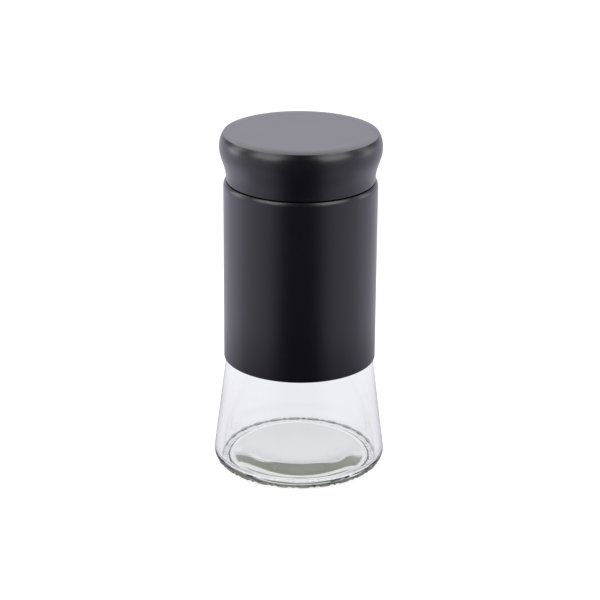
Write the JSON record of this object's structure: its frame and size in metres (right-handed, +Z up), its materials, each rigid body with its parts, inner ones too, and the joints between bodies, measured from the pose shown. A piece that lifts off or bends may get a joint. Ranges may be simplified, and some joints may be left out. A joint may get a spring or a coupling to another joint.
{
  "type": "pepper mill",
  "caption": "Upright pepper mill with a flared clear glass jar, a black turning sleeve over a ceramic burr pair with a grind adjuster, and a flat-topped black lift-off cap.",
  "frame": {"origin": "centre of the face that the jar stands on", "axes": "+Z up along the mill's axis, from the jar to the cap"},
  "size_m": [0.065, 0.065, 0.13],
  "materials": {
    "clear_glass": "clear moulded glass",
    "seal_rubber": "matte silicone",
    "grey_plastic": "moulded, fine matte",
    "steel": "plain steel",
    "pale_plastic": "natural nylon",
    "white_ceramic": "sintered, unglazed",
    "brass": "turned brass",
    "black_plastic": "moulded, fine matte",
    "black_paint": "satin black paint on steel"
  },
  "bodies": {
    "jar": {"glass_jar": "clear_glass"},
    "seal": {"jar_seal": "seal_rubber"},
    "collar": {"screw_collar": "grey_plastic", "spindle_spider": "steel", "spindle": "steel", "burr_spring": "steel", "glide_washer": "pale_plastic", "retaining_ring": "steel"},
    "burr": {"inner_burr": "white_ceramic", "burr_core": "grey_plastic", "burr_washer": "steel"},
    "adjuster": {"adjuster_knob": "black_plastic", "adjuster_nut": "brass"},
    "head": {"head_housing": "black_plastic", "head_sleeve": "black_paint", "guide_ring": "pale_plastic", "burr_carrier": "grey_plastic", "ring_burr": "white_ceramic", "cover_ring": "black_plastic", "cover_screws": "steel", "cap_seal": "seal_rubber"},
    "cap": {"cap_shell": "black_paint", "cap_insert": "black_plastic"}
  },
  "joints": [
    {"name": "head_rise", "type": "slide", "parent": "jar", "child": "seal", "axis": [0, 0, 1], "range_m": [0, 0.004]},
    {"name": "head_unscrew", "type": "hinge", "parent": "seal", "child": "collar", "pos_m": [0, 0, 0.09], "axis": [0, 0, 1], "range_deg": [0, 360]},
    {"name": "grind_turn", "type": "hinge", "parent": "collar", "child": "head", "pos_m": [0, 0, 0.087], "axis": [0, 0, 1], "continuous": true},
    {"name": "burr_slide", "type": "slide", "parent": "collar", "child": "burr", "axis": [0, 0, 1], "range_m": [-0.00027, 0.0008], "deforming": ["burr_spring"]},
    {"name": "adjuster_turn", "type": "hinge", "parent": "burr", "child": "adjuster", "pos_m": [0, 0, 0.112], "axis": [0, 0, 1], "range_deg": [-120, 360]},
    {"name": "cap_lift", "type": "slide", "parent": "head", "child": "cap", "axis": [0, 0, 1], "range_m": [0, 0.035]}
  ],
  "couplings": [
    {"joint": "head_unscrew", "follows": "head_rise", "rad_per_m": 1570.8},
    {"joint": "adjuster_turn", "follows": "burr_slide", "rad_per_m": 7853.9}
  ]
}
